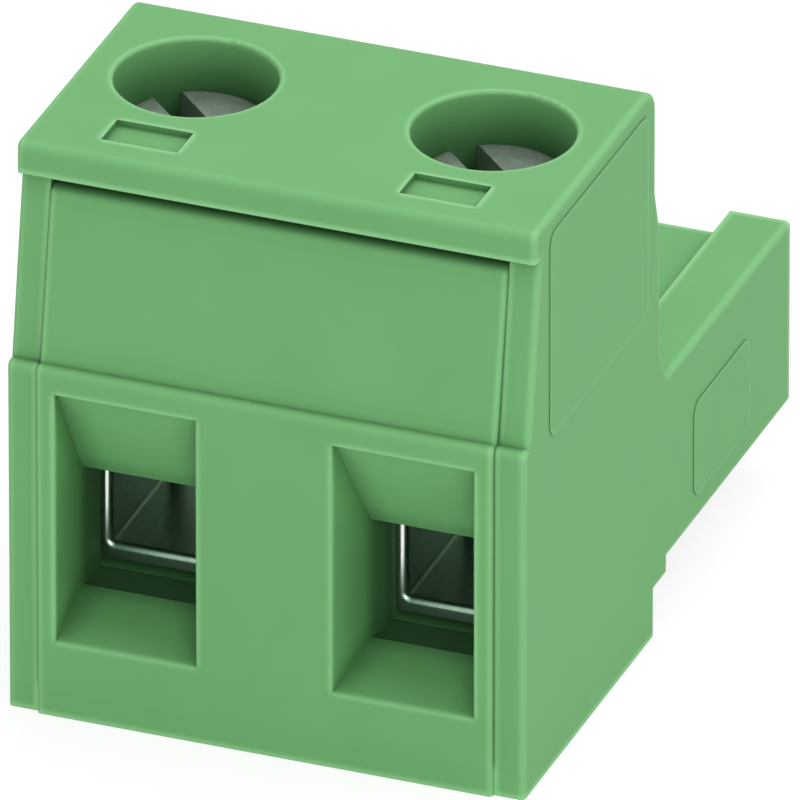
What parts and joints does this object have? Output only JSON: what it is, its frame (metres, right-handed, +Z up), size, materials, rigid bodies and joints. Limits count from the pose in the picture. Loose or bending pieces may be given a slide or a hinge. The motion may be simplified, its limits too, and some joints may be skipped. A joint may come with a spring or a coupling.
{
  "type": "pluggable terminal block plug",
  "caption": "Green pluggable screw terminal plug with wire funnels in front, slotted clamp screws on top, and a nose with spring contacts for a board header.",
  "frame": {"origin": "middle of the bounding box on the face that the plug stands on", "axes": "+X along the pitch, +Y towards the nose that goes into the header, +Z up through the screws"},
  "size_m": [0.0134, 0.0184, 0.015],
  "materials": {
    "housing_plastic": "smooth moulded green plastic, satin",
    "cover_plastic": "smooth moulded green plastic, satin",
    "cage_metal": "bright plated sheet steel",
    "screw_metal": "plated steel, turned head",
    "contact_metal": "tin-plated copper alloy"
  },
  "bodies": {
    "plug_body": {"housing": "housing_plastic", "front_cover": "cover_plastic", "contact_1": "contact_metal", "contact_2": "contact_metal"},
    "screw_1": {"clamp_screw_1": "screw_metal"},
    "screw_2": {"clamp_screw_2": "screw_metal"},
    "cage_1": {"clamp_cage_1": "cage_metal"},
    "cage_2": {"clamp_cage_2": "cage_metal"}
  },
  "joints": [
    {"name": "screw_1_turn", "type": "hinge", "parent": "plug_body", "child": "screw_1", "pos_m": [-0.00381, -0.00372, 0.0124], "axis": [0, 0, -1], "range_deg": [0, 2200]},
    {"name": "screw_2_turn", "type": "hinge", "parent": "plug_body", "child": "screw_2", "pos_m": [0.00381, -0.00372, 0.0124], "axis": [0, 0, -1], "range_deg": [0, 2200]},
    {"name": "cage_1_lift", "type": "slide", "parent": "plug_body", "child": "cage_1", "axis": [0, 0, 1], "range_m": [0, 0.00275]},
    {"name": "cage_2_lift", "type": "slide", "parent": "plug_body", "child": "cage_2", "axis": [0, 0, 1], "range_m": [0, 0.00275]}
  ],
  "couplings": [
    {"joint": "screw_1_turn", "follows": "cage_1_lift", "rad_per_m": 13963},
    {"joint": "screw_2_turn", "follows": "cage_2_lift", "rad_per_m": 13963}
  ]
}
